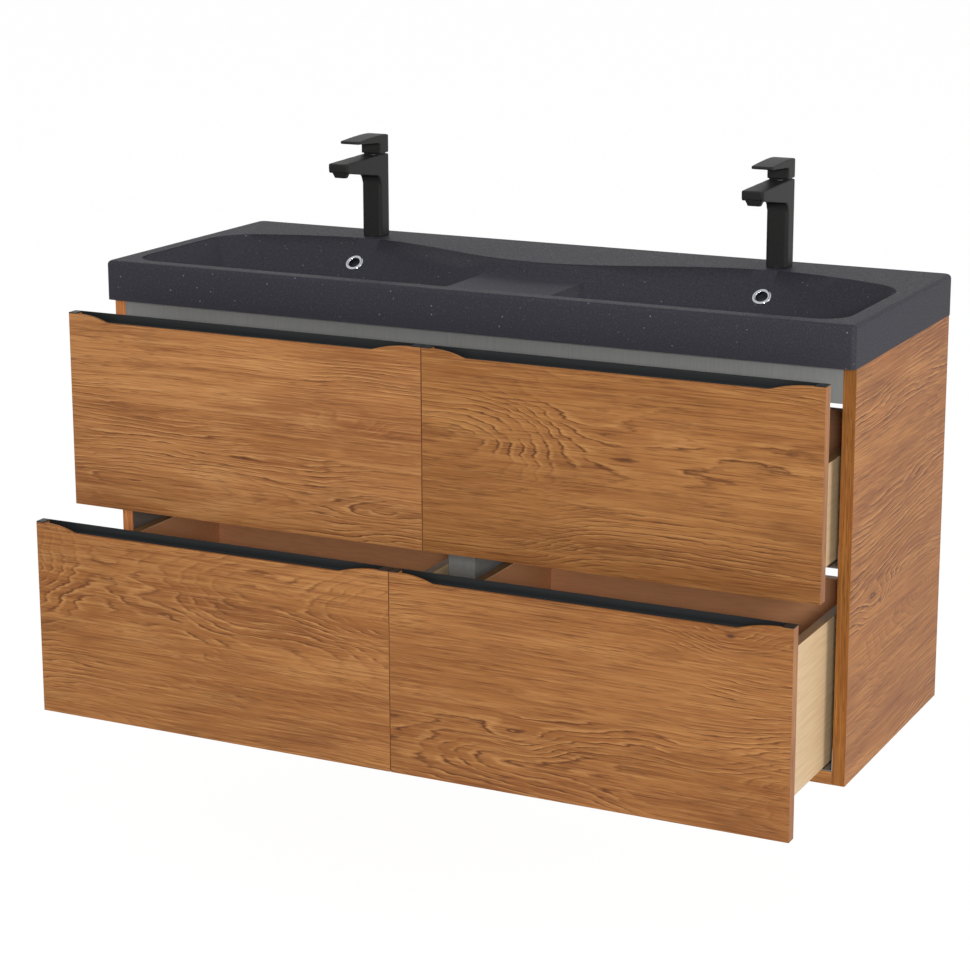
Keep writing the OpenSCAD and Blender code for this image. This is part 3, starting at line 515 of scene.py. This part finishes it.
# Faint drawing lines run through a cloudy sheen.
zinc, w, shader = plain_material("zinc_plate", roughness=0.38, specular=0.5, metallic=1.0)
lines = w.noise(w.place(), (900, 20, 900))
cloud = w.noise(w.place(), (26, 26, 26), detail=3.0)
plate = w.stain(srgb(196, 198, 200), cloud, 0.3, 0.7, 1.0, srgb(160, 163, 166))
w.feed(shader.inputs["Base Color"], plate)
w.feed(shader.inputs["Roughness"], w.spread(lines, 0.3, 0.7, 0.30, 0.48))
bumped(w, shader, lines, ZINC_RELIEF)

for side in SIDES:
    shaped(f"hanging_board_{side}", f"hanging_rail_{side}", BOARD_ROUND, all_one, [inside_board])
shaped("hanging_brackets", "wall_hangers", BRACKET_ROUND, all_one, [zinc])

# ---------- Runners ----------
# Three nested members under each box side: one screwed to the panel, one that floats between
# and one under the box. All are rolled from zinc-plated strip.

ROWS = ("upper", "lower")

for side in SIDES:
    shaped(f"panel_runners_{side}", f"cabinet_runners_{side}", 0, all_one, [zinc])
    for row in ROWS:
        shaped(f"floating_runners_{row}_{side}", f"middle_runners_{row}_{side}", 0, all_one, [zinc])
        shaped(f"box_runners_{row}_{side}", f"runners_{row}_{side}", 0, all_one, [zinc])

# ---------- Drawer boxes ----------
# Maple-coloured board outside, brown board inside, and a brown edging along the top. The sides
# are grooved for the bottom, and the upper boxes step round the pipes with a U-shaped wall.

BOX_ROUND = 1.0 * MM
BOX_FLOOR_ROUND = 0.2 * MM
LEANING_OUT = 0.3

maple_outside = board_material(
    "maple_board", srgb(228, 199, 158), srgb(208, 174, 130), (200, 14, 260), 0.5)
box_edging = board_material(
    "box_edging", srgb(152, 111, 66), srgb(128, 92, 53), (400, 30, 400), 0.5)


def box_side_faces(centre_x):
    """For a box's two sides: maple outside and on the rounded corners, brown inside, and edging on top.
    The inner rounded corner takes the paler maple as a painted highlight along the rim."""
    def pick(normal, middle):
        if normal.z > LEVEL:
            return 2
        outward = 1 if middle.x > centre_x else -1
        # The paler maple on the inner rounded corner is a painted highlight.
        return 0 if max(normal.x * outward, normal.z) > LEANING_OUT else 1
    return pick


def box_back_faces(normal, middle):
    """For a box's back: maple behind, and brown elsewhere."""
    return 0 if normal.y > LEVEL else 1


def box_floor_faces(normal, middle):
    """For a box's bottom: maple below, and brown elsewhere."""
    return 0 if normal.z < -LEVEL else 1


for side in SIDES:
    for row in ROWS:
        low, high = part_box(f"sides_{row}_{side}")
        shaped(f"box_sides_{row}_{side}", f"sides_{row}_{side}", BOX_ROUND,
               box_side_faces((low.x + high.x) / 2), [maple_outside, inside_board, box_edging])
        shaped(f"box_back_{row}_{side}", f"back_{row}_{side}", BOARD_ROUND,
               box_back_faces, [maple_outside, inside_board])
        shaped(f"box_floor_{row}_{side}", f"bottom_{row}_{side}", BOX_FLOOR_ROUND,
               box_floor_faces, [maple_outside, inside_board])
    shaped(f"pipe_wall_{side}", f"pipe_guard_{side}", BOARD_ROUND, all_one, [inside_board])

# ---------- Drawer fronts ----------
# Oak-faced board with the grain across. The top edge dips between two S-shaped swoops, where
# fingers reach the profile behind, and every edge is banded.

FRONT_ROUND = 0.3 * MM

# Where each front's lower left corner lies on the oak print, along, across and in depth, and
# the cast of its colour.
FRONT_CUTS = {
    ("upper", "left"): ((13.6, -0.05, 6.8), (1.09, 1.07, 1.08, 1.0)),
    ("upper", "right"): ((15.3, -0.17, 7.6), (0.88, 0.83, 0.74, 1.0)),
    ("lower", "left"): ((18.7, -0.23, 9.2), (1.02, 0.98, 0.92, 1.0)),
    ("lower", "right"): ((6.8, -0.05, 3.6), (0.92, 0.86, 0.79, 1.0)),
}
end_band = oak("oak_band_end", "zyx", (2.2, 0.3, 0.4), figure=0.3, cast=(1.0, 0.98, 1.08, 1.0))
top_band = oak("oak_band_top", "xyz", (1.2, 0.9, 0.4), figure=0.3, cast=(1.0, 0.95, 0.9, 1.0))


def front_faces(normal, middle):
    """For a front: its two faces, its upright ends, and its top and foot."""
    if abs(normal.y) > LEVEL:
        return 0
    return 1 if abs(normal.x) > LEVEL else 2


for (row, side), (cut, cast) in FRONT_CUTS.items():
    low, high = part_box(f"front_{row}_{side}")
    shift = Vector(cut) - Vector((low.x, low.z, low.y))
    face = oak(f"oak_front_{row}_{side}", "xzy", shift, cast=cast)
    shaped(f"front_board_{row}_{side}", f"front_{row}_{side}", FRONT_ROUND, front_faces,
           [face, end_band, top_band])

# ---------- Grip profiles ----------
# Black anodised aluminium, extruded. A thin flange lies over the front's top edge, and the
# trough behind it has a round inner corner that fingers hook into.

GRIP_ROUND = 0.25 * MM
GRIP_RELIEF = 0.02 * MM

anodised, w, shader = plain_material("black_anodised", roughness=0.45, specular=0.20)
drawn = w.noise(w.place(), (6, 1800, 1800))
black = w.stain(srgb(36, 38, 39), drawn, 0.3, 0.7, 1.0, srgb(28, 30, 31))
w.feed(shader.inputs["Base Color"], black)
w.feed(shader.inputs["Roughness"], w.spread(drawn, 0.3, 0.7, 0.38, 0.50))
bumped(w, shader, drawn, GRIP_RELIEF)

for row in ROWS:
    for side in SIDES:
        shaped(f"grip_rail_{row}_{side}", f"grip_{row}_{side}", GRIP_ROUND, all_one, [anodised])

# ---------- Basin ----------
# One piece of charcoal quartz composite, cast face down, so its faces are silky and speckled
# with pale grains. Two deep bowls meet over a shallow shelf.

CHARCOAL = srgb(63, 62, 69)
CHARCOAL_DARK = srgb(55, 54, 61)
QUARTZ_DUST = srgb(92, 92, 102)
QUARTZ_GRAIN = srgb(176, 180, 198)
GRAINS_A_METRE = 210.0
DUST_A_METRE = 520.0
CAST_RELIEF = 0.04 * MM

composite, w, shader = plain_material("charcoal_composite", roughness=0.58, specular=0.07)
at = w.place()
grain = w.put("TexVoronoi", {"Vector": at, "Scale": GRAINS_A_METRE})
grain_pick = w.put("SeparateColor", {0: grain.outputs["Color"]}).outputs[0]
small = w.spread(grain.outputs["Distance"], 0.16, 0.30, 1.0, 0.0)
pale = w.product(small, w.spread(grain_pick, 0.965, 0.995))
dust = w.put("TexVoronoi", {"Vector": at, "Scale": DUST_A_METRE})
dust_pick = w.put("SeparateColor", {0: dust.outputs["Color"]}).outputs[0]
mottle = w.noise(at, (420, 420, 420))
shade = w.stain(CHARCOAL, mottle, 0.34, 0.70, 1.0, CHARCOAL_DARK)
shade = w.stain(shade, dust_pick, 0.90, 1.0, 0.22, QUARTZ_DUST)
shade = w.tint(w.product(pale, 0.42), shade, QUARTZ_GRAIN)
w.feed(shader.inputs["Base Color"], shade)
w.feed(shader.inputs["Roughness"], w.spread(mottle, 0.3, 0.7, 0.46, 0.60))
bumped(w, shader, mottle, CAST_RELIEF)

shaped("basin_casting", "basin", 0, all_one, [composite], sharp_from=38)

# ---------- Overflow rings and wastes ----------
# Polished chrome on brass: a ring pushed into each overflow hole, and a push-open waste with a
# domed plug in each bowl.

RING_ROUND = 0.6 * MM
WASTE_ROUND = 0.3 * MM

chrome, w, shader = plain_material("chrome", roughness=0.08, specular=0.5, metallic=1.0)
haze = w.noise(w.place(), (90, 90, 90), detail=3.0)
w.feed(shader.inputs["Base Color"], w.tint(haze, srgb(168, 170, 174), srgb(196, 198, 202)))
w.feed(shader.inputs["Roughness"], w.spread(haze, 0.3, 0.7, 0.05, 0.12))

shaped("overflow_trim", "overflow_rings", RING_ROUND, all_one, [chrome], segments=4, sharp_from=45)
for side in SIDES:
    shaped(f"waste_fitting_{side}", f"waste_{side}", WASTE_ROUND, all_one, [chrome], sharp_from=45)
    shaped(f"waste_cap_{side}", f"waste_plug_{side}", WASTE_ROUND, all_one, [chrome], sharp_from=45)

# ---------- Taps ----------
# Cast brass with a baked black finish. A square column carries the spout, and the lever on its
# top lifts for flow and turns for heat.

COLUMN_CELL = 1.0 * MM
LEVER_CELL = 0.8 * MM
CARRIER_ROUND = 0.2 * MM
OUTLET_ROUND = 0.4 * MM
CARTRIDGE_ROUND = 0.2 * MM
FIXING_ROUND = 0.3 * MM
TAP_RELIEF = 0.02 * MM

# A dark slab of painted shade fills the gap below each lever. It lies its LIFT over the column and ends
# its BACK in front of the column's rear.
SHADE_SLAB_W = 32.6 * MM
SHADE_SLAB_D = 21.6 * MM
SHADE_SLAB_T = 1.1 * MM
SHADE_SLAB_LIFT = 0.1 * MM
SHADE_SLAB_CORNER = 6 * MM
SHADE_SLAB_BACK = 8 * MM

tap_black, w, shader = plain_material("tap_black", roughness=0.5, specular=0.12)
orange_peel = w.noise(w.place(), (700, 700, 700))
baked = w.stain(srgb(36, 36, 36), orange_peel, 0.3, 0.7, 1.0, srgb(43, 43, 42))
w.feed(shader.inputs["Base Color"], baked)
w.feed(shader.inputs["Roughness"], w.spread(orange_peel, 0.3, 0.7, 0.44, 0.54))
bumped(w, shader, orange_peel, TAP_RELIEF)


def gap_shade_slab(side):
    """A dark slab in the gap below a lever: painted shade, which fills the gap there. It leaves room for
    the lever's heel, which dips behind the pin, and it turns with the carrier."""
    low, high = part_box(f"tap_body_{side}")
    centre = ((low.x + high.x) / 2, high.y - SHADE_SLAB_BACK - SHADE_SLAB_D / 2,
              high.z + SHADE_SLAB_T / 2 + SHADE_SLAB_LIFT)
    bm = bmesh.new()
    bmesh.ops.create_cube(bm, size=1.0)
    bmesh.ops.scale(bm, verts=bm.verts, vec=(SHADE_SLAB_W, SHADE_SLAB_D, SHADE_SLAB_T))
    upright = [edge for edge in bm.edges
               if abs(edge.verts[0].co.z - edge.verts[1].co.z) > SHADE_SLAB_T / 2]
    bmesh.ops.bevel(bm, geom=upright, offset=SHADE_SLAB_CORNER, segments=5, affect="EDGES",
                    profile=0.5, material=-1)
    bmesh.ops.translate(bm, verts=bm.verts, vec=centre)
    shade_slab = new_piece(f"gap_shade_slab_{side}", bm, [tap_black])
    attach(shade_slab, BODY_OF[f"tap_carrier_{side}"])


for side in SIDES:
    shaped(f"tap_column_{side}", f"tap_body_{side}", 0, all_one, [tap_black], soften=COLUMN_CELL)
    shaped(f"tap_handle_{side}", f"tap_lever_{side}", 0, all_one, [tap_black], soften=LEVER_CELL)
    shaped(f"tap_swivel_{side}", f"tap_carrier_{side}", CARRIER_ROUND, all_one, [tap_black])
    # Painted shade: a dark slab in the gap below the lever.
    gap_shade_slab(side)
shaped("spout_outlets", "tap_outlets", OUTLET_ROUND, all_one, [tap_black])
shaped("cartridges", "tap_cartridges", CARTRIDGE_ROUND, all_one, [zinc])
shaped("washers_and_nuts", "basin_fixings", FIXING_ROUND, all_one, [zinc])
